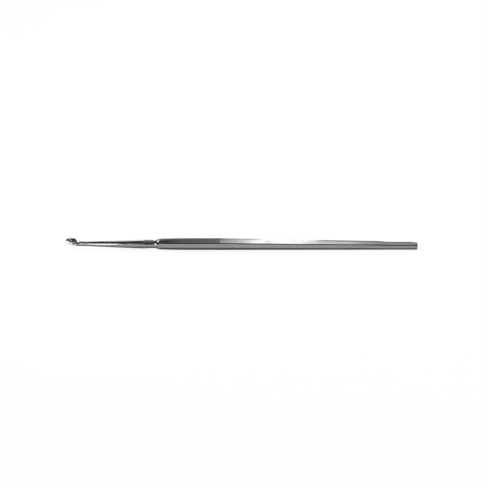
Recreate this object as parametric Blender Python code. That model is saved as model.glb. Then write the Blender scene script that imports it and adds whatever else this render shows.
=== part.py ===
"""Chalazion curette: one piece of stainless steel, lying as it comes to rest.

The handle is an eight-sided bar, its edges broken by narrow facets. It swells from the shoulder to
the grip, then tapers to a waisted tail and a butt turned round at the end. At the front the bar is
turned down to a hollow-ground waist, a tapering shank and a thin neck, so that each flat runs out in
an arched edge. The neck spreads into a round cup, open at the top, whose rim is ground to a narrow
land.

X runs along the instrument from the cup (-X) to the butt (+X), and Z is up. The bar rests on its
lowest flat, in the plane Z = 0. The origin is under the middle of the length.
"""

import math

import bmesh
import bpy

# Every size below is in millimetres; the meshes are written in metres.
MM = 0.001

# Lengths along the instrument
overall_length = 130.0
neck_from_toe = 8.4
lift_from_toe = 12.4
shoulder_from_toe = 34.6
belly_to_waist = 4.0
swell_length = 13.6
grip_length = 8.8
dip_from_butt = 16.4
tail_from_butt = 9.4
ease_from_butt = 3.6

# Handle, across opposite flats
shoulder_flats = 3.75
grip_flats = 4.1
taper_end_flats = 3.1
tail_flats = 2.75
butt_flats = 2.5
edge_facet = 0.12
butt_round = 0.45

# Turned front
neck_diameter = 1.76
heel_diameter = 1.9
belly_diameter = 3.27
waist_diameter = 3.03
waist_grind_radius = 5.2
shank_straightness = 0.7

# Where the neck meets the cup
heel_width = 2.5
heel_fillet_length = 0.9
heel_top_rise = 0.2
keel_length = 1.9
keel_turn = math.radians(80)

# Cup
cup_outer_diameter = 4.0
cup_wall = 0.25
cup_straight_wall = 0.32
rim_land = 0.09
rim_bevel_height = 0.2
cup_above_axis = 1.35
neck_lift = 0.22

# Fineness of the round forms
TURNED_SIDES = 64
CUP_SIDES = 64
CUP_ARC_STEPS = 12
KEEL_STEPS = 6
FILLET_STEPS = 4
SHANK_STEPS = 20
SWELL_STEPS = 5
GRIND_STEPS = 9
BUTT_STEPS = 5
DIP_STEPS = 6
SPARE = 1.0

# Places worked out from the sizes above
toe_x = -overall_length / 2
butt_x = overall_length / 2
neck_x = toe_x + neck_from_toe
shoulder_x = toe_x + shoulder_from_toe
grip_x = shoulder_x + swell_length
taper_x = grip_x + grip_length
dip_x = butt_x - dip_from_butt
tail_x = butt_x - tail_from_butt
ease_x = butt_x - ease_from_butt
axis_height = grip_flats / 2
cup_radius = cup_outer_diameter / 2
cup_x = toe_x + cup_radius
cup_back_x = cup_x + cup_radius
cup_centre_height = axis_height + cup_above_axis
rim_height = cup_centre_height + cup_straight_wall
CORNER = 1 / math.cos(math.pi / 8)


def corner_place(half_flats):
    """How far along a flat the facet of its edge begins, from the middle of the flat."""
    return half_flats * math.tan(math.pi / 8) - edge_facet / 2 * CORNER


# The hollow of the waist is an arc that climbs to the handle's edges at the shoulder.
shoulder_corner = math.hypot(shoulder_flats / 2, corner_place(shoulder_flats / 2))
waist_climb = shoulder_corner - waist_diameter / 2
waist_x = shoulder_x - math.sqrt(waist_climb * (2 * waist_grind_radius - waist_climb))
belly_x = waist_x - belly_to_waist


def smooth_step(t):
    """Rise from 0 to 1 with level ends."""
    t = min(max(t, 0.0), 1.0)
    return t * t * (3 - 2 * t)


def between(x, x0, x1, a, b):
    """Straight change from a at x0 to b at x1."""
    t = min(max((x - x0) / (x1 - x0), 0.0), 1.0)
    return a + (b - a) * t


def eased(x, x0, x1, a, b):
    """Change from a at x0 to b at x1 with level ends."""
    return a + (b - a) * smooth_step((x - x0) / (x1 - x0))


def flats_at(x):
    """Width of the bar across its flats at x."""
    if x < grip_x:
        swell = min((grip_x - x) / swell_length, 1.0)
        return grip_flats - (grip_flats - shoulder_flats) * swell * swell
    if x < dip_x:
        return between(x, taper_x, dip_x, grip_flats, taper_end_flats)
    if x < ease_x:
        return eased(x, dip_x, tail_x, taper_end_flats, tail_flats)
    return between(x, ease_x, butt_x, tail_flats, butt_flats)


def bar_centre_at(x):
    """Height of the bar's centre: level as far as the taper, then kept on the resting flat."""
    if x < taper_x:
        return axis_height
    return flats_at(x) / 2


def shank_radius_at(x):
    """Radius of the turned front: thin at the neck, widest at the belly, hollow at the waist."""
    if x < neck_x:
        return eased(x, cup_back_x, neck_x, heel_diameter, neck_diameter) / 2
    if x < belly_x:
        straight = between(x, neck_x, belly_x, neck_diameter, belly_diameter)
        level_ended = eased(x, neck_x, belly_x, neck_diameter, belly_diameter)
        return (shank_straightness * straight + (1 - shank_straightness) * level_ended) / 2
    return eased(x, belly_x, waist_x, belly_diameter, waist_diameter) / 2


def shank_centre_at(x):
    """Height of the turned front's centre, which rises a little from the shank to the cup."""
    lift_start = toe_x + lift_from_toe
    return axis_height + neck_lift * smooth_step((lift_start - x) / (lift_start - cup_x))


def octagon_section(x):
    """Points of the bar's section at x, with each of its eight edges broken by a narrow facet."""
    half = flats_at(x) / 2
    centre = bar_centre_at(x)
    half_width = corner_place(half)
    points = []
    for flat in range(8):
        across = math.cos(flat * math.pi / 4)
        up = math.sin(flat * math.pi / 4)
        for reach in (-half_width, half_width):
            points.append((x, half * across - reach * up, centre + half * up + reach * across))
    return points


def oval_section(x, half_width, low, high):
    """Points of an oval section at x, from its lowest to its highest point."""
    middle = (low + high) / 2
    half_height = (high - low) / 2
    turns = (2 * math.pi * i / TURNED_SIDES for i in range(TURNED_SIDES))
    return [(x, half_width * math.cos(a), middle + half_height * math.sin(a)) for a in turns]


def round_section(x, radius, centre):
    """Points of a round section at x."""
    return oval_section(x, radius, centre - radius, centre + radius)


def add_object(name, mesh_maker, hidden=False):
    """Make an object from a function that fills a bmesh, given in millimetres."""
    bm = bmesh.new()
    mesh_maker(bm)
    for vert in bm.verts:
        vert.co *= MM
    bmesh.ops.recalc_face_normals(bm, faces=bm.faces)
    mesh = bpy.data.meshes.new(name)
    bm.to_mesh(mesh)
    bm.free()
    thing = bpy.data.objects.new(name, mesh)
    bpy.context.collection.objects.link(thing)
    if hidden:
        thing.hide_render = True
        thing.display_type = "WIRE"
    return thing


def loft(bm, sections):
    """Join closed sections, all of as many points, into one closed skin."""
    rings = [[bm.verts.new(point) for point in section] for section in sections]
    count = len(rings[0])
    for near, far in zip(rings, rings[1:]):
        for i in range(count):
            j = (i + 1) % count
            bm.faces.new((near[i], near[j], far[j], far[i]))
    bm.faces.new(rings[0])
    bm.faces.new(rings[-1])


def lathe(bm, profile, x):
    """Turn a profile of (radius, height) points about the upright line at x. Its ends lie on the line."""
    first = bm.verts.new((x, 0.0, profile[0][1]))
    last = bm.verts.new((x, 0.0, profile[-1][1]))
    rings = []
    for radius, height in profile[1:-1]:
        turns = (2 * math.pi * i / CUP_SIDES for i in range(CUP_SIDES))
        rings.append([bm.verts.new((x + radius * math.cos(a), radius * math.sin(a), height)) for a in turns])
    for i in range(CUP_SIDES):
        j = (i + 1) % CUP_SIDES
        bm.faces.new((first, rings[0][i], rings[0][j]))
        bm.faces.new((last, rings[-1][i], rings[-1][j]))
        for low, high in zip(rings, rings[1:]):
            bm.faces.new((low[i], low[j], high[j], high[i]))


def fill_bar(bm):
    """The eight-sided bar, from inside the cup's place to the butt."""
    places = [toe_x - SPARE]
    places += [shoulder_x + swell_length * step / SWELL_STEPS for step in range(SWELL_STEPS + 1)]
    places += [taper_x]
    places += [dip_x + (tail_x - dip_x) * step / DIP_STEPS for step in range(DIP_STEPS + 1)]
    places += [ease_x, butt_x]
    loft(bm, [octagon_section(x) for x in places])


def keel_sections():
    """The underside of the neck, which runs on as a narrowing keel to the lowest point of the cup."""
    cup_low = cup_centre_height - cup_radius
    neck_low = shank_centre_at(cup_back_x) - heel_diameter / 2
    sections = []
    for step in range(KEEL_STEPS):
        reach = 1 - step / KEEL_STEPS
        narrowing = math.cos(keel_turn * reach)
        low = neck_low + (cup_low - neck_low) * reach
        high = low + heel_diameter * narrowing
        sections.append(oval_section(cup_back_x - keel_length * reach, heel_width / 2 * narrowing, low, high))
    return sections


def fillet_sections():
    """The neck's end, which spreads sideways and upwards where it meets the back of the cup."""
    sections = []
    for step in range(FILLET_STEPS):
        turn = math.pi / 2 * step / FILLET_STEPS
        x = cup_back_x + heel_fillet_length * math.sin(turn)
        spread = 1 - math.sqrt(math.sin(turn))
        radius = shank_radius_at(x)
        centre = shank_centre_at(x)
        half_width = radius + (heel_width / 2 - radius) * spread
        sections.append(oval_section(x, half_width, centre - radius, centre + radius + heel_top_rise * spread))
    return sections


def shank_sections():
    """Neck, shank and belly, as far as the waist."""
    start = cup_back_x + heel_fillet_length
    length = waist_x - start
    places = [start + length * step / SHANK_STEPS for step in range(SHANK_STEPS)]
    return [round_section(x, shank_radius_at(x), shank_centre_at(x)) for x in places]


def waist_sections():
    """The hollow ground between waist and flats: an arc that climbs past the bar's edges."""
    climb = grip_flats / 2 * CORNER - waist_diameter / 2 + SPARE / 2
    full_turn = math.acos(1 - climb / waist_grind_radius)
    sections = []
    for step in range(GRIND_STEPS + 1):
        turn = full_turn * step / GRIND_STEPS
        x = waist_x + waist_grind_radius * math.sin(turn)
        radius = waist_diameter / 2 + waist_grind_radius * (1 - math.cos(turn))
        sections.append(round_section(x, radius, axis_height))
    return sections


def butt_sections():
    """Clear of the handle all along, then rounded over at the butt."""
    clear_radius = grip_flats / 2 * CORNER + SPARE
    butt_centre = butt_flats / 2
    butt_radius = butt_flats / 2 * CORNER
    sections = [
        round_section(grip_x, clear_radius, axis_height),
        round_section(taper_x, clear_radius, axis_height),
        round_section(butt_x - butt_round, clear_radius, butt_centre),
    ]
    for step in range(1, BUTT_STEPS + 1):
        turn = math.pi / 2 * step / BUTT_STEPS
        x = butt_x - butt_round * (1 - math.sin(turn))
        sections.append(round_section(x, butt_radius - butt_round * (1 - math.cos(turn)), butt_centre))
    return sections


def fill_turning(bm):
    """What turning and grinding leave of the bar, from the keel under the cup to the butt."""
    loft(bm, keel_sections() + fillet_sections() + shank_sections() + waist_sections() + butt_sections())


def fill_cup_outside(bm):
    """The cup before it is hollowed: half a ball, a short straight wall and a bevel to the rim."""
    profile = [(0.0, cup_centre_height - cup_radius)]
    for step in range(1, CUP_ARC_STEPS + 1):
        angle = math.pi / 2 * step / CUP_ARC_STEPS
        profile.append((cup_radius * math.sin(angle), cup_centre_height - cup_radius * math.cos(angle)))
    profile.append((cup_radius, rim_height - rim_bevel_height))
    profile.append((cup_radius - cup_wall + rim_land, rim_height))
    profile.append((0.0, rim_height))
    lathe(bm, profile, cup_x)


def fill_cup_hollow(bm):
    """The hollow of the cup, with a little to spare above the rim."""
    inner = cup_radius - cup_wall
    profile = [(0.0, cup_centre_height - inner)]
    for step in range(1, CUP_ARC_STEPS + 1):
        angle = math.pi / 2 * step / CUP_ARC_STEPS
        profile.append((inner * math.sin(angle), cup_centre_height - inner * math.cos(angle)))
    profile.append((inner, rim_height + SPARE))
    profile.append((0.0, rim_height + SPARE))
    lathe(bm, profile, cup_x)


def stainless_steel():
    """Polished surgical steel."""
    material = bpy.data.materials.new("stainless_steel")
    material.use_nodes = True
    shader = material.node_tree.nodes["Principled BSDF"]
    shader.inputs["Base Color"].default_value = (0.5, 0.5, 0.51, 1.0)
    shader.inputs["Metallic"].default_value = 1.0
    shader.inputs["Roughness"].default_value = 0.2
    return material


def cut_with(thing, cutter, operation):
    """Put one Boolean step on a thing."""
    step = thing.modifiers.new(cutter.name, "BOOLEAN")
    step.operation = operation
    step.solver = "EXACT"
    step.object = cutter


def main():
    for old in list(bpy.data.objects):
        bpy.data.objects.remove(old, do_unlink=True)
    curette = add_object("curette", fill_bar)
    turning = add_object("turning_guide", fill_turning, hidden=True)
    cup_outside = add_object("cup_outside_guide", fill_cup_outside, hidden=True)
    cup_hollow = add_object("cup_hollow_guide", fill_cup_hollow, hidden=True)
    cut_with(curette, turning, "INTERSECT")
    cut_with(curette, cup_outside, "UNION")
    cut_with(curette, cup_hollow, "DIFFERENCE")
    curette.data.materials.append(stainless_steel())


main()
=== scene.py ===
"""Looks of a chalazion curette: one bright ground steel instrument lying on a white studio floor."""

import math

import bmesh
import bpy
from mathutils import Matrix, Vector


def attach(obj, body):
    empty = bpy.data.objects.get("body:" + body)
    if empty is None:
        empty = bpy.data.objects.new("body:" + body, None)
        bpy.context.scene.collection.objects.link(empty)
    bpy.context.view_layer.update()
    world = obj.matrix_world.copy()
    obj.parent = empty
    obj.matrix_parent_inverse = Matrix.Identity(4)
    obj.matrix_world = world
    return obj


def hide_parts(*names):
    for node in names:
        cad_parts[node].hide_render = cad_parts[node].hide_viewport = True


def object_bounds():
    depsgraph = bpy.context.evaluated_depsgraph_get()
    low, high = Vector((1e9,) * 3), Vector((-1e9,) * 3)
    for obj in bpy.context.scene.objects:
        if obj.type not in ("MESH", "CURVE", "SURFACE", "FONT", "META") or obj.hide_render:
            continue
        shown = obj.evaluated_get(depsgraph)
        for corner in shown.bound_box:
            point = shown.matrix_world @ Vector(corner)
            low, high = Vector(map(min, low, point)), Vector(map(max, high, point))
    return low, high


bl_info = {
    "name": "Chalazion Curette",
    "version": (1, 0, 0),
    "blender": (4, 5, 0),
    "location": "View3D > Sidebar > Curette",
    "description": "Builds the finished steel of a chalazion curette, its studio and its camera",
    "category": "Object",
}

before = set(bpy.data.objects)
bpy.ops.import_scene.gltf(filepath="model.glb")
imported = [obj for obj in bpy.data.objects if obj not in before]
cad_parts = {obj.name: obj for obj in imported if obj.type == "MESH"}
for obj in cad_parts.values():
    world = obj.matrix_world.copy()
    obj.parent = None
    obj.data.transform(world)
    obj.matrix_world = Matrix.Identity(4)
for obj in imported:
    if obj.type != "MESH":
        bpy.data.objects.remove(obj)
CAD_BOX = [list(corner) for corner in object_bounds()]
CAD_NODE = "curette"
TOE_X = CAD_BOX[0][0]
BUTT_X = CAD_BOX[1][0]
SIDEBAR_TAB = "Curette"

# The eight-sided section: its ratios, the places of points across one flat, and the steps round an edge
EIGHTH_TURN = math.pi / 4
FLAT_SLOPE = math.tan(math.pi / 8)
CORNER = 1 / math.cos(math.pi / 8)
FLAT_PLACES = (-1.0, -0.95, -0.5, 0.0, 0.5, 0.95, 1.0)
EDGE_STEPS = 6

# Rings along each stretch, from the keel to the butt
KEEL_STEPS = 20
FILLET_STEPS = 14
NECK_STEPS = 70
RAMP_STEPS = 16
ARCH_STEPS = 5
SWELL_STEPS = 14
GRIP_STEPS = 4
TAPER_STEPS = 26
DIP_STEPS = 20
TAIL_STEPS = 4
EASE_STEPS = 4
BUTT_STEPS = 10

# Distance between rings at a bend of the profile, and at the shoulder's crease
KINK_STEP = 0.00025
CREASE_STEP = 0.00003

# How far behind the shoulder the rings still follow the arched ends of the flats
ARCH_REACH = 0.0012

# Rounding where the flats run out into the ground hollow, and into the turned butt
RUN_OUT_BLEND = 0.00002
BUTT_BLEND = 0.00004

# Steps in each half of a softened bend of the turned front
BEND_STEPS = 5

# How far the keel's narrowing turns, and the angle past which an edge stays sharp, in degrees
KEEL_TURN = 80
SHARP_ANGLE = 32

# Fineness of the cup
CUP_SIDES = 160
CUP_ARC_STEPS = 40
WALL_STEPS = 4
BEVEL_STEPS = 3

# The cup's inner lip: lips across the rim's land, where its break bends, and how high it leaves the rim
LIPS_IN_LAND = 3
LIP_BEND = 0.3
LIP_RISE = 0.5

# How far the hollow's guide reaches above the rim, and how near points are when they are welded
SPARE = 0.001
WELD = 0.0000005

# Streaks of the steel: how often they change along, across and up the instrument, and their detail
BROAD_STREAKS = ((45.0, 2600.0, 2600.0), 2.0)
FINE_LINES = ((70.0, 9000.0, 9000.0), 3.0)
CLOUDS = ((180.0, 500.0, 500.0), 2.0)

# The streaks' own roughness, and the middle range of their noise that is used
NOISE_ROUGHNESS = 0.6
NOISE_LOW = 0.3
NOISE_HIGH = 0.7

# How far the clouds lower and raise the steel's roughness, and how the fine lines stand out
SMOOTHER = 0.04
ROUGHER = 0.06
LINE_STRENGTH = 0.35
LINE_DEPTH = 0.000004

# The floor, and how far the card lies above it
FLOOR_RADIUS = 4.0
FLOOR_SIDES = 96
FLOOR_ROUGHNESS = 0.9
FLOOR_GAP = 0.0002

# The camera: lens and sensor in millimetres, lengths and places in metres, elevation in degrees
CAMERA_LENS = 239.5
CAMERA_SENSOR = 36.0
CAMERA_NEAR = 0.05
CAMERA_AIM = (0.000854, 0.0, 0.002065)
CAMERA_ELEVATION = 20
CAMERA_DISTANCE = 1.2


# Settings

def length_setting(name, default, description):
    """A length in metres."""
    return bpy.props.FloatProperty(
        name=name, default=default, description=description, min=0.0, unit="LENGTH", precision=5
    )


def colour_setting(name, default, description):
    """A linear colour."""
    return bpy.props.FloatVectorProperty(
        name=name, default=default, description=description, subtype="COLOR", size=3, min=0.0, max=1.0
    )


def share_setting(name, default, description):
    """A share between 0 and 1."""
    return bpy.props.FloatProperty(
        name=name, default=default, description=description, min=0.0, max=1.0, subtype="FACTOR"
    )


class CURETTE_PG_handle(bpy.types.PropertyGroup):
    """Sizes of the eight-sided handle."""

    shoulder: length_setting("Shoulder", 0.0346, "Where the flats begin, from the toe of the cup")
    swell: length_setting("Swell", 0.0136, "Length over which the handle widens behind the shoulder")
    grip: length_setting("Grip", 0.0088, "Length of the parallel grip")
    dip: length_setting("Dip", 0.0164, "Where the taper ends, from the butt")
    tail: length_setting("Tail", 0.0094, "Where the tail is at its own width, from the butt")
    ease: length_setting("Ease", 0.0036, "Length over which the tail narrows to the butt")
    shoulder_flats: length_setting("Shoulder flats", 0.00375, "Width across flats at the shoulder")
    grip_flats: length_setting("Grip flats", 0.00410, "Width across flats of the grip")
    dip_flats: length_setting("Dip flats", 0.00310, "Width across flats at the end of the taper")
    tail_flats: length_setting("Tail flats", 0.00275, "Width across flats of the tail")
    butt_flats: length_setting("Butt flats", 0.00250, "Width across flats at the butt")
    edge_radius: length_setting("Edge radius", 0.00060, "Roundness of the eight polished edges")
    butt_round: length_setting("Butt round", 0.00045, "Radius of the round-over at the butt")


class CURETTE_PG_shank(bpy.types.PropertyGroup):
    """Sizes of the turned front."""

    neck: length_setting("Neck", 0.0084, "Where the neck is thinnest, from the toe of the cup")
    lift: length_setting("Lift", 0.0124, "Where the neck begins to rise, from the toe of the cup")
    belly: length_setting("Belly", 0.0040, "How far the thickest place lies before the waist")
    neck_diameter: length_setting("Neck diameter", 0.00176, "Smallest diameter of the neck")
    belly_diameter: length_setting("Belly diameter", 0.00327, "Largest diameter of the shank")
    waist_diameter: length_setting("Waist diameter", 0.00303, "Smallest diameter of the waist")
    grind_radius: length_setting("Grind radius", 0.0052, "Radius of the hollow ground at the waist")
    neck_lift: length_setting("Neck lift", 0.00022, "How far the neck rises towards the cup")
    soft_bend: length_setting("Soft bend", 0.0014, "How far each bend of the turned front is spread")
    straightness: share_setting("Straightness", 0.7, "How straight the shank's sides are")


class CURETTE_PG_cup(bpy.types.PropertyGroup):
    """Sizes of the cup and of the neck's spread behind it."""

    outer_diameter: length_setting("Outer diameter", 0.0040, "Diameter outside")
    wall: length_setting("Wall", 0.00025, "Thickness of the wall")
    straight_wall: length_setting("Straight wall", 0.00032, "Height of the wall above the bowl")
    rim_land: length_setting("Rim land", 0.00009, "Width of the flat land on the rim")
    rim_bevel: length_setting("Rim bevel", 0.00020, "Height of the bevel below the rim")
    above_axis: length_setting("Above axis", 0.00135, "Height of the bowl's centre above the axis")
    heel_diameter: length_setting("Heel diameter", 0.00190, "Diameter where the neck meets the cup")
    heel_width: length_setting("Heel width", 0.0025, "Width of the neck where it meets the cup")
    heel_rise: length_setting("Heel rise", 0.0002, "How far the neck climbs the back of the cup")
    heel_fillet: length_setting("Heel fillet", 0.0009, "Length over which the neck spreads")
    keel_length: length_setting("Keel length", 0.0019, "How far the keel runs under the cup")


class CURETTE_PG_finish(bpy.types.PropertyGroup):
    """Finish of the steel and of the studio."""

    bright: colour_setting("Bright steel", (0.43, 0.43, 0.435), "Colour of the polished flats")
    dull: colour_setting("Dull steel", (0.33, 0.33, 0.335), "Colour of the fine polishing lines")
    roughness: share_setting("Roughness", 0.1, "Roughness of the polished flats")
    room: colour_setting("Room", (0.07, 0.07, 0.07), "Colour of the dim room round the studio")
    floor: colour_setting("Floor", (0.9, 0.9, 0.9), "Colour of the floor")
    floor_shaded: colour_setting(
        "Shaded floor", (0.14, 0.14, 0.14), "Colour that carries light and shadow on the floor as seen"
    )
    floor_even: share_setting("Even share", 0.9, "White of the floor's own, as seen")
    floor_mirrored: share_setting("Mirrored share", 0.03, "White of the floor's own, in the steel")


# Forms

def smooth_step(t):
    """Rise from 0 to 1 with level ends."""
    t = min(max(t, 0.0), 1.0)
    return t * t * (3 - 2 * t)


def between(x, x0, x1, a, b):
    """Straight change from a at x0 to b at x1."""
    t = min(max((x - x0) / (x1 - x0), 0.0), 1.0)
    return a + (b - a) * t


def eased(x, x0, x1, a, b):
    """Change from a at x0 to b at x1 with level ends."""
    return a + (b - a) * smooth_step((x - x0) / (x1 - x0))


def steps_between(start, end, count):
    """Places from start up to, but without, end."""
    return [start + (end - start) * step / count for step in range(count)]


def softer_minimum(a, b, blend):
    """The smaller of two lengths, rounded where they cross."""
    spread = max(blend - abs(a - b), 0.0) / blend
    return min(a, b) - blend * spread * spread / 4


class Curette:
    """The instrument's profile, worked out from the settings."""

    def __init__(self, scene):
        self.handle = scene.curette_handle
        self.shank = scene.curette_shank
        self.cup = scene.curette_cup
        self.axis = self.handle.grip_flats / 2
        self.shoulder_x = TOE_X + self.handle.shoulder
        self.grip_x = self.shoulder_x + self.handle.swell
        self.taper_x = self.grip_x + self.handle.grip
        self.dip_x = BUTT_X - self.handle.dip
        self.tail_x = BUTT_X - self.handle.tail
        self.ease_x = BUTT_X - self.handle.ease
        self.round_x = BUTT_X - self.handle.butt_round
        self.waist_radius = self.shank.waist_diameter / 2
        self.corner_run = self.ramp_run(self.handle.shoulder_flats / 2 * CORNER)
        self.waist_x = self.shoulder_x - self.corner_run
        self.belly_x = self.waist_x - self.shank.belly
        self.neck_x = TOE_X + self.shank.neck
        self.lift_x = TOE_X + self.shank.lift
        self.cup_radius = self.cup.outer_diameter / 2
        self.cup_x = TOE_X + self.cup_radius
        self.cup_back_x = self.cup_x + self.cup_radius
        self.cup_height = self.axis + self.cup.above_axis
        self.rim_height = self.cup_height + self.cup.straight_wall

    def ramp_run(self, radius):
        """How far from the waist's thinnest place the ground hollow reaches a radius."""
        climb = max(radius - self.waist_radius, 0.0)
        return math.sqrt(climb * (2 * self.shank.grind_radius - climb))

    def ramp_radius(self, x):
        """Radius of the ground hollow behind the waist."""
        grind = self.shank.grind_radius
        run = min(max(x - self.waist_x, 0.0), grind)
        return self.waist_radius + grind - math.sqrt(grind * grind - run * run)

    def flats_at(self, x):
        """Width across the flats."""
        handle = self.handle
        if x < self.grip_x:
            swell = min((self.grip_x - x) / handle.swell, 1.0)
            return handle.grip_flats - (handle.grip_flats - handle.shoulder_flats) * swell * swell
        if x < self.dip_x:
            return between(x, self.taper_x, self.dip_x, handle.grip_flats, handle.dip_flats)
        if x < self.ease_x:
            return eased(x, self.dip_x, self.tail_x, handle.dip_flats, handle.tail_flats)
        ease = (x - self.ease_x) / handle.ease
        return handle.tail_flats - (handle.tail_flats - handle.butt_flats) * ease * ease

    def bar_centre_at(self, x):
        """Height of the bar's middle: level as far as the taper, then kept on the resting flat."""
        return self.axis if x < self.taper_x else self.flats_at(x) / 2

    def shank_radius_at(self, x):
        """Radius of the turned front before the waist, with its bends softened."""
        steps = range(1 - BEND_STEPS, BEND_STEPS)
        weights = [BEND_STEPS - abs(step) for step in steps]
        places = [x + self.shank.soft_bend * step / BEND_STEPS for step in steps]
        total = sum(weight * self.turned_radius_at(place) for weight, place in zip(weights, places))
        return total / sum(weights)

    def turned_radius_at(self, x):
        """Radius of the turned front before its bends are softened."""
        shank = self.shank
        if x < self.neck_x:
            heel = self.cup.heel_diameter
            return eased(x, self.cup_back_x, self.neck_x, heel, shank.neck_diameter) / 2
        if x < self.belly_x:
            ends = (x, self.neck_x, self.belly_x, shank.neck_diameter, shank.belly_diameter)
            return (shank.straightness * between(*ends) + (1 - shank.straightness) * eased(*ends)) / 2
        return eased(x, self.belly_x, self.waist_x, shank.belly_diameter, shank.waist_diameter) / 2

    def shank_centre_at(self, x):
        """Height of the turned front's middle, which rises a little towards the cup."""
        rise = smooth_step((self.lift_x - x) / (self.lift_x - self.cup_x))
        return self.axis + self.shank.neck_lift * rise


def section_places(half, edge_radius):
    """Directions and distances of an eight-sided section's points, with rounded edges."""
    tangent = half * FLAT_SLOPE - edge_radius * FLAT_SLOPE
    corner = [(half, tangent * place) for place in FLAT_PLACES]
    for step in range(1, EDGE_STEPS):
        turn = EIGHTH_TURN * step / EDGE_STEPS
        out = half - edge_radius + edge_radius * math.cos(turn)
        corner.append((out, tangent + edge_radius * math.sin(turn)))
    return [
        (math.atan2(along, out) + flat * EIGHTH_TURN, math.hypot(along, out))
        for flat in range(8)
        for out, along in corner
    ]


def turned_section(form, x):
    """A round section of neck, shank or belly."""
    radius, centre = form.shank_radius_at(x), form.shank_centre_at(x)
    places = section_places(form.flats_at(x) / 2, form.handle.edge_radius)
    return [(x, radius * math.cos(turn), centre + radius * math.sin(turn)) for turn, _ in places]


def oval_section(form, x, half_width, low, high):
    """An oval section of the heel or the keel, from its lowest to its highest point."""
    middle, half_height = (low + high) / 2, (high - low) / 2
    places = section_places(form.handle.shoulder_flats / 2, form.handle.edge_radius)
    return [(x, half_width * math.cos(turn), middle + half_height * math.sin(turn)) for turn, _ in places]


def keel_and_heel(form):
    """The neck's spread where it meets the cup, and its run under the cup as a narrowing keel."""
    cup = form.cup
    cup_low = form.cup_height - form.cup_radius
    neck_low = form.shank_centre_at(form.cup_back_x) - cup.heel_diameter / 2
    sections = []
    for step in range(KEEL_STEPS):
        reach = 1 - step / KEEL_STEPS
        narrowing = math.cos(math.radians(KEEL_TURN) * reach)
        low = neck_low + (cup_low - neck_low) * reach
        high = low + cup.heel_diameter * narrowing
        x = form.cup_back_x - cup.keel_length * reach
        sections.append(oval_section(form, x, cup.heel_width / 2 * narrowing, low, high))
    for step in range(FILLET_STEPS):
        turn = math.pi / 2 * step / FILLET_STEPS
        x = form.cup_back_x + cup.heel_fillet * math.sin(turn)
        spread = 1 - math.sqrt(math.sin(turn))
        radius, centre = form.shank_radius_at(x), form.shank_centre_at(x)
        half_width = radius + (cup.heel_width / 2 - radius) * spread
        high = centre + radius + cup.heel_rise * spread
        sections.append(oval_section(form, x, half_width, centre - radius, high))
    return sections


def ring_places(form, arch_end):
    """Where the rings lie from the waist to the butt, close together at each bend of the profile."""
    shoulder, taper, dip, tail, ease = form.shoulder_x, form.taper_x, form.dip_x, form.tail_x, form.ease_x
    places = steps_between(form.waist_x, shoulder, RAMP_STEPS)
    places += [shoulder - CREASE_STEP, shoulder, shoulder + CREASE_STEP]
    places += steps_between(shoulder + 3 * CREASE_STEP, arch_end, ARCH_STEPS)
    places += steps_between(arch_end, form.grip_x, SWELL_STEPS)
    places += steps_between(form.grip_x, taper - KINK_STEP, GRIP_STEPS)
    places += [taper - KINK_STEP, taper, taper + KINK_STEP]
    places += steps_between(taper + 4 * KINK_STEP, dip - 2 * KINK_STEP, TAPER_STEPS)
    places += steps_between(dip - KINK_STEP, tail + KINK_STEP, DIP_STEPS)
    places += steps_between(tail + 2 * KINK_STEP, ease - KINK_STEP, TAIL_STEPS)
    places += [ease - KINK_STEP, ease, ease + KINK_STEP]
    places += steps_between(ease + 3 * KINK_STEP, form.round_x, EASE_STEPS)
    return places


def waist_and_handle(form):
    """The ground hollow of the waist and the bar. Its rings bend to follow the arched ends of the flats."""
    arch_end = form.shoulder_x + ARCH_REACH
    sections = []
    for x in ring_places(form, arch_end):
        points = []
        following = smooth_step((x - form.waist_x) / (form.shoulder_x - form.waist_x))
        if x > form.shoulder_x:
            following = smooth_step((arch_end - x) / (arch_end - form.shoulder_x))
        for turn, reach in section_places(form.flats_at(x) / 2, form.handle.edge_radius):
            bent_x = x + (form.ramp_run(reach) - form.corner_run) * following
            if bent_x < arch_end:
                reach = softer_minimum(reach, form.ramp_radius(bent_x), RUN_OUT_BLEND)
            centre = form.bar_centre_at(bent_x)
            points.append((bent_x, reach * math.cos(turn), centre + reach * math.sin(turn)))
        sections.append(points)
    return sections


def butt_sections(form):
    """The butt, turned round where the eight flats end."""
    handle = form.handle
    end_radius = handle.butt_flats / 2 * CORNER
    sections = []
    for step in range(BUTT_STEPS + 1):
        turn = math.pi / 2 * step / BUTT_STEPS
        x = BUTT_X - handle.butt_round * (1 - math.sin(turn))
        radius = end_radius - handle.butt_round * (1 - math.cos(turn))
        centre = form.bar_centre_at(x)
        points = []
        for angle, reach in section_places(form.flats_at(x) / 2, handle.edge_radius):
            reach = softer_minimum(reach, radius, BUTT_BLEND)
            points.append((x, reach * math.cos(angle), centre + reach * math.sin(angle)))
        sections.append(points)
    return sections


def loft(bm, sections):
    """Join closed sections, all of as many points, into one closed skin."""
    rings = [[bm.verts.new(point) for point in section] for section in sections]
    for near, far in zip(rings, rings[1:]):
        for i in range(len(near)):
            bm.faces.new((near[i - 1], near[i], far[i], far[i - 1]))
    bm.faces.new(rings[0])
    bm.faces.new(rings[-1])


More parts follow.
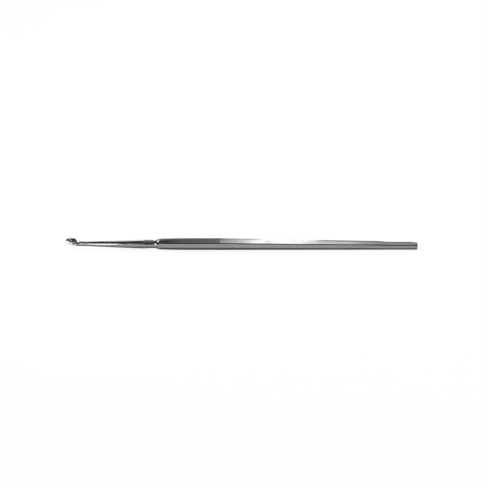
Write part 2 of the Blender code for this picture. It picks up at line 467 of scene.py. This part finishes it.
def lathe(bm, profile, x):
    """Turn a profile of (radius, height) points about the upright line at x. Its ends lie on the line."""
    first = bm.verts.new((x, 0.0, profile[0][1]))
    last = bm.verts.new((x, 0.0, profile[-1][1]))
    turns = [2 * math.pi * side / CUP_SIDES for side in range(CUP_SIDES)]
    rings = [
        [bm.verts.new((x + radius * math.cos(turn), radius * math.sin(turn), height)) for turn in turns]
        for radius, height in profile[1:-1]
    ]
    for i in range(CUP_SIDES):
        bm.faces.new((first, rings[0][i], rings[0][i - 1]))
        bm.faces.new((last, rings[-1][i - 1], rings[-1][i]))
        for low, high in zip(rings, rings[1:]):
            bm.faces.new((low[i - 1], low[i], high[i], high[i - 1]))


def bowl_profile(radius, centre):
    """The lower half of a ball, as a profile from its lowest point."""
    turns = [math.pi / 2 * step / CUP_ARC_STEPS for step in range(CUP_ARC_STEPS + 1)]
    return [(radius * math.sin(turn), centre - radius * math.cos(turn)) for turn in turns]


def fill_body(bm, form):
    """Handle, waist, shank, neck and keel, before the cup is added."""
    start = form.cup_back_x + form.cup.heel_fillet
    neck = [turned_section(form, x) for x in steps_between(start, form.waist_x, NECK_STEPS)]
    loft(bm, keel_and_heel(form) + neck + waist_and_handle(form) + butt_sections(form))


def fill_cup_outside(bm, form):
    """The cup before it is hollowed: half a ball, a short straight wall and a bevel to the rim."""
    cup, radius = form.cup, form.cup_radius
    bevel_low = form.rim_height - cup.rim_bevel
    land_edge = radius - cup.wall + cup.rim_land
    profile = bowl_profile(radius, form.cup_height)
    for step in range(1, WALL_STEPS + 1):
        profile.append((radius, between(step, 0, WALL_STEPS, form.cup_height, bevel_low)))
    for step in range(1, BEVEL_STEPS + 1):
        narrowed = between(step, 0, BEVEL_STEPS, radius, land_edge)
        profile.append((narrowed, between(step, 0, BEVEL_STEPS, bevel_low, form.rim_height)))
    profile.append((0.0, form.rim_height))
    lathe(bm, profile, form.cup_x)


def fill_cup_hollow(bm, form):
    """The hollow of the cup, with its inner lip barely broken and a little to spare above the rim."""
    inner = form.cup_radius - form.cup.wall
    lip = form.cup.rim_land / LIPS_IN_LAND
    profile = bowl_profile(inner, form.cup_height)
    profile += [
        (inner, form.rim_height - lip),
        (inner + lip * LIP_BEND, form.rim_height - lip * LIP_BEND),
        (inner + lip, form.rim_height + lip * LIP_RISE),
        (inner + lip, form.rim_height + SPARE),
        (0.0, form.rim_height + SPARE),
    ]
    lathe(bm, profile, form.cup_x)


def new_object(name, fill, *details):
    """An object whose mesh is filled by a function, which may need details such as the profile."""
    bm = bmesh.new()
    fill(bm, *details)
    bmesh.ops.recalc_face_normals(bm, faces=bm.faces)
    mesh = bpy.data.meshes.new(name)
    bm.to_mesh(mesh)
    bm.free()
    thing = bpy.data.objects.new(name, mesh)
    bpy.context.scene.collection.objects.link(thing)
    return thing


def cut_with(thing, cutter, operation):
    """Put one Boolean step on a thing."""
    step = thing.modifiers.new(cutter.name, "BOOLEAN")
    step.operation = operation
    step.solver = "EXACT"
    step.object = cutter


def finished_mesh(thing, name):
    """The mesh of a thing with all its steps worked out, and the slivers they leave welded away."""
    graph = bpy.context.evaluated_depsgraph_get()
    mesh = bpy.data.meshes.new_from_object(thing.evaluated_get(graph))
    mesh.name = name
    bm = bmesh.new()
    bm.from_mesh(mesh)
    bmesh.ops.remove_doubles(bm, verts=bm.verts, dist=WELD)
    bmesh.ops.dissolve_degenerate(bm, edges=bm.edges, dist=WELD)
    bm.to_mesh(mesh)
    bm.free()
    return mesh


# Finish of the steel

def node(tree, kind, place, **settings):
    """Add a shader node at a place, with its settings."""
    made = tree.nodes.new(kind)
    made.location = place
    for key, value in settings.items():
        setattr(made, key, value)
    return made


def streaks(tree, place, scale, detail):
    """Noise drawn out along the instrument, as polishing leaves it."""
    where = node(tree, "ShaderNodeTexCoord", (place[0] - 400, place[1]))
    stretch = node(tree, "ShaderNodeMapping", (place[0] - 200, place[1]))
    stretch.inputs["Scale"].default_value = scale
    noise = node(tree, "ShaderNodeTexNoise", place)
    noise.inputs["Scale"].default_value = 1.0
    noise.inputs["Detail"].default_value = detail
    noise.inputs["Roughness"].default_value = NOISE_ROUGHNESS
    tree.links.new(where.outputs["Object"], stretch.inputs["Vector"])
    tree.links.new(stretch.outputs["Vector"], noise.inputs["Vector"])
    return noise.outputs["Fac"]


def spread_noise(tree, place, noise, low, high):
    """Spread the middle range of a noise over the range from low to high."""
    spread = node(tree, "ShaderNodeMapRange", place)
    spread.inputs["From Min"].default_value = NOISE_LOW
    spread.inputs["From Max"].default_value = NOISE_HIGH
    spread.inputs["To Min"].default_value = low
    spread.inputs["To Max"].default_value = high
    tree.links.new(noise, spread.inputs["Value"])
    return spread.outputs["Result"]


def polished_steel(finish):
    """Ground and satin polished stainless steel, with fine lines along the instrument."""
    material = bpy.data.materials.new("polished_steel")
    material.use_nodes = True
    tree = material.node_tree
    shader = tree.nodes["Principled BSDF"]
    shader.inputs["Metallic"].default_value = 1.0
    broad = streaks(tree, (-900, 300), *BROAD_STREAKS)
    fine = streaks(tree, (-900, 0), *FINE_LINES)
    clouds = streaks(tree, (-900, -300), *CLOUDS)
    colour = node(tree, "ShaderNodeMix", (-300, 300), data_type="RGBA")
    colour.inputs["A"].default_value = (*finish.dull, 1.0)
    colour.inputs["B"].default_value = (*finish.bright, 1.0)
    tree.links.new(spread_noise(tree, (-600, 300), broad, 0.0, 1.0), colour.inputs["Factor"])
    tree.links.new(colour.outputs["Result"], shader.inputs["Base Color"])
    smoothest, roughest = finish.roughness - SMOOTHER, finish.roughness + ROUGHER
    rough = spread_noise(tree, (-600, -300), clouds, smoothest, roughest)
    tree.links.new(rough, shader.inputs["Roughness"])
    bump = node(tree, "ShaderNodeBump", (-300, -50))
    bump.inputs["Strength"].default_value = LINE_STRENGTH
    bump.inputs["Distance"].default_value = LINE_DEPTH
    tree.links.new(fine, bump.inputs["Height"])
    tree.links.new(bump.outputs["Normal"], shader.inputs["Normal"])
    return material


# Studio

# Soft boxes: name, start and end along the instrument, lowest and highest angle, distance, radiance.
# The angles are 0 at the camera's horizon, 90 overhead and 180 at the far horizon.
SOFT_BOXES = (
    ("grip_fill", -0.050, -0.004, 64, 170, 0.35, 0.16),
    ("taper_front", -0.004, 0.012, 67, 98, 0.35, 0.8),
    ("taper_over", -0.004, 0.012, 98, 170, 0.35, 0.8),
    ("middle_front", 0.012, 0.042, 67, 98, 0.35, 2.7),
    ("middle_over", 0.012, 0.042, 98, 136, 0.35, 2.3),
    ("middle_back", 0.012, 0.040, 136, 170, 0.35, 2.2),
    ("tail_front", 0.042, 0.066, 68, 92, 0.35, 1.4),
    ("tail_back", 0.040, 0.066, 92, 170, 0.35, 0.4),
    ("butt_front", 0.066, 0.150, 67, 92, 0.35, 0.55),
    ("butt_back", 0.066, 0.150, 92, 170, 0.35, 0.12),
    ("shank_over", -0.060, -0.037, 112, 172, 0.12, 1.6),
    ("shank_front", -0.056, -0.036, 0, 25, 0.12, 0.5),
    ("neck_front", -0.080, -0.058, 0, 30, 0.10, 3.8),
)

# The card on the floor: name, start and end along the instrument, near and far edge, radiance
CUP_CARD = ("cup_card", -0.085, -0.0615, -0.020, 0.004, 1.3)

# Far lamps: name, azimuth (0 behind the camera, 90 beyond the butt), elevation, strength, softness
SUNS = (
    ("butt_sun", 140, 55, 0.4, 40),
    ("cup_sun", -100, 38, 2.0, 48),
    ("butt_end_sun", 92, 25, 0.12, 30),
)


def facing(direction):
    """The rotation with which a lamp or a camera looks in a direction that isn't upright."""
    return direction.to_track_quat("-Z", "Y").to_euler()


def add_to_studio(name, data, place, rotation):
    """Put a lamp or a camera at a place."""
    thing = bpy.data.objects.new(name, data)
    thing.location = place
    thing.rotation_euler = rotation
    bpy.context.scene.collection.objects.link(thing)
    return thing


def add_panel(name, width, depth, radiance, place, rotation):
    """Put an evenly glowing oblong, unseen by the camera, at a place."""
    data = bpy.data.lights.new(name, "AREA")
    data.shape = "RECTANGLE"
    data.size = width
    data.size_y = depth
    data.energy = radiance * math.pi * data.size * data.size_y
    panel = add_to_studio(name, data, place, rotation)
    panel.visible_camera = False


def soft_box(name, start, end, low, high, distance, radiance):
    """A soft box over part of the instrument."""
    turn = math.radians(low + high) / 2
    outward = Vector((0.0, -math.cos(turn), math.sin(turn)))
    place = Vector(((start + end) / 2, 0.0, 0.0)) + outward * distance
    depth = 2 * distance * math.tan(math.radians(high - low) / 2)
    add_panel(name, end - start, depth, radiance, place, facing(-outward))


def floor_card(name, start, end, near, far, radiance):
    """A bright card lying on the floor, facing up, mirrored by the steel over it."""
    place = ((start + end) / 2, (near + far) / 2, FLOOR_GAP)
    add_panel(name, end - start, far - near, radiance, place, (math.pi, 0.0, 0.0))


def sun(name, azimuth, elevation, strength, softness):
    """A broad soft light from far away."""
    data = bpy.data.lights.new(name, "SUN")
    data.energy = strength
    data.angle = math.radians(softness)
    turn, up = math.radians(azimuth), math.radians(elevation)
    source = Vector((math.sin(turn) * math.cos(up), -math.cos(turn) * math.cos(up), math.sin(up)))
    add_to_studio(name, data, source, facing(-source))


def add_camera(scene):
    """The camera, at the photograph's viewing angle."""
    data = bpy.data.cameras.new("camera")
    data.lens = CAMERA_LENS
    data.sensor_width = CAMERA_SENSOR
    data.clip_start = CAMERA_NEAR
    aim = Vector(CAMERA_AIM)
    up = math.radians(CAMERA_ELEVATION)
    place = aim + Vector((0.0, -math.cos(up), math.sin(up))) * CAMERA_DISTANCE
    scene.camera = add_to_studio("camera", data, place, facing(aim - place))


def fill_floor(bm):
    """A wide round floor."""
    bmesh.ops.create_circle(bm, cap_ends=True, segments=FLOOR_SIDES, radius=FLOOR_RADIUS)


def white_floor(finish):
    """Matte white. Most of what the camera sees of it is even, so that only a faint shadow shows."""
    material = bpy.data.materials.new("white_floor")
    material.use_nodes = True
    tree = material.node_tree
    shader = tree.nodes["Principled BSDF"]
    shader.inputs["Roughness"].default_value = FLOOR_ROUGHNESS
    shader.inputs["Specular IOR Level"].default_value = 0.0
    shader.inputs["Emission Color"].default_value = (1.0, 1.0, 1.0, 1.0)
    path = node(tree, "ShaderNodeLightPath", (-900, -200))
    paint = node(tree, "ShaderNodeMix", (-400, 200), data_type="RGBA")
    paint.inputs["A"].default_value = (*finish.floor, 1.0)
    paint.inputs["B"].default_value = (*finish.floor_shaded, 1.0)
    tree.links.new(path.outputs["Is Camera Ray"], paint.inputs["Factor"])
    tree.links.new(paint.outputs["Result"], shader.inputs["Base Color"])
    mirrored = node(tree, "ShaderNodeMath", (-650, -300), operation="MAXIMUM")
    tree.links.new(path.outputs["Is Glossy Ray"], mirrored.inputs[0])
    tree.links.new(path.outputs["Is Transmission Ray"], mirrored.inputs[1])
    fainter = node(tree, "ShaderNodeMath", (-450, -300), operation="MULTIPLY")
    fainter.inputs[1].default_value = finish.floor_mirrored
    tree.links.new(mirrored.outputs["Value"], fainter.inputs[0])
    plain = node(tree, "ShaderNodeMath", (-450, -500), operation="MULTIPLY")
    plain.inputs[1].default_value = finish.floor_even
    tree.links.new(path.outputs["Is Camera Ray"], plain.inputs[0])
    glow = node(tree, "ShaderNodeMath", (-250, -400), operation="ADD")
    tree.links.new(fainter.outputs["Value"], glow.inputs[0])
    tree.links.new(plain.outputs["Value"], glow.inputs[1])
    tree.links.new(glow.outputs["Value"], shader.inputs["Emission Strength"])
    return material


def studio_world(finish):
    """A white background to the camera and a dim grey room to everything else."""
    world = bpy.data.worlds.new("studio_world")
    world.use_nodes = True
    tree = world.node_tree
    path = node(tree, "ShaderNodeLightPath", (-600, 0))
    colour = node(tree, "ShaderNodeMix", (-300, 0), data_type="RGBA")
    colour.inputs["A"].default_value = (*finish.room, 1.0)
    colour.inputs["B"].default_value = (1.0, 1.0, 1.0, 1.0)
    tree.links.new(path.outputs["Is Camera Ray"], colour.inputs["Factor"])
    tree.links.new(colour.outputs["Result"], tree.nodes["Background"].inputs["Color"])
    return world


# Operators

class CURETTE_OT_instrument(bpy.types.Operator):
    """Build the whole instrument in finished steel"""

    bl_idname = "curette.instrument"
    bl_label = "Instrument"

    def execute(self, context):
        form = Curette(context.scene)
        body = new_object("curette_body", fill_body, form)
        cup_outside = new_object("cup_outside_guide", fill_cup_outside, form)
        cup_hollow = new_object("cup_hollow_guide", fill_cup_hollow, form)
        cut_with(body, cup_outside, "UNION")
        cut_with(body, cup_hollow, "DIFFERENCE")
        mesh = finished_mesh(body, "curette_steel")
        for guide in (body, cup_outside, cup_hollow):
            bpy.data.objects.remove(guide, do_unlink=True)
        mesh.shade_smooth()
        mesh.set_sharp_from_angle(angle=math.radians(SHARP_ANGLE))
        mesh.materials.clear()
        mesh.materials.append(polished_steel(context.scene.curette_finish))
        steel = bpy.data.objects.new("curette_steel", mesh)
        context.scene.collection.objects.link(steel)
        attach(steel, "root")
        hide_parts(CAD_NODE)
        return {"FINISHED"}


class CURETTE_OT_studio(bpy.types.Operator):
    """Build the floor, the lamps and the camera"""

    bl_idname = "curette.studio"
    bl_label = "Studio"

    def execute(self, context):
        scene = context.scene
        floor = new_object("floor", fill_floor)
        floor.data.materials.append(white_floor(scene.curette_finish))
        for box in SOFT_BOXES:
            soft_box(*box)
        for light in SUNS:
            sun(*light)
        floor_card(*CUP_CARD)
        scene.world = studio_world(scene.curette_finish)
        add_camera(scene)
        scene.view_settings.view_transform = "Standard"
        return {"FINISHED"}


class CURETTE_PT_panel(bpy.types.Panel):
    """The sidebar panel that lists the pieces and their settings"""

    bl_idname = "CURETTE_PT_panel"
    bl_label = "Chalazion Curette"
    bl_space_type = "VIEW_3D"
    bl_region_type = "UI"
    bl_category = SIDEBAR_TAB

    def draw(self, context):
        for operator in (CURETTE_OT_instrument, CURETTE_OT_studio):
            self.layout.operator(operator.bl_idname)
        for title, settings in (
            ("Handle", context.scene.curette_handle),
            ("Turned front", context.scene.curette_shank),
            ("Cup", context.scene.curette_cup),
            ("Finish", context.scene.curette_finish),
        ):
            box = self.layout.box()
            box.label(text=title)
            for name in settings.__annotations__:
                box.prop(settings, name)


GROUPS = {
    "curette_handle": CURETTE_PG_handle,
    "curette_shank": CURETTE_PG_shank,
    "curette_cup": CURETTE_PG_cup,
    "curette_finish": CURETTE_PG_finish,
}
CLASSES = (*GROUPS.values(), CURETTE_OT_instrument, CURETTE_OT_studio, CURETTE_PT_panel)


def register():
    """Register the classes and put their settings on the scene."""
    for kind in CLASSES:
        bpy.utils.register_class(kind)
    for name, kind in GROUPS.items():
        setattr(bpy.types.Scene, name, bpy.props.PointerProperty(type=kind))


def unregister():
    """Take the settings off the scene and the classes out again."""
    for name in GROUPS:
        delattr(bpy.types.Scene, name)
    for kind in reversed(CLASSES):
        bpy.utils.unregister_class(kind)


def main():
    """Build everything."""
    register()
    bpy.ops.curette.instrument()
    bpy.ops.curette.studio()


if __name__ == "__main__":
    main()
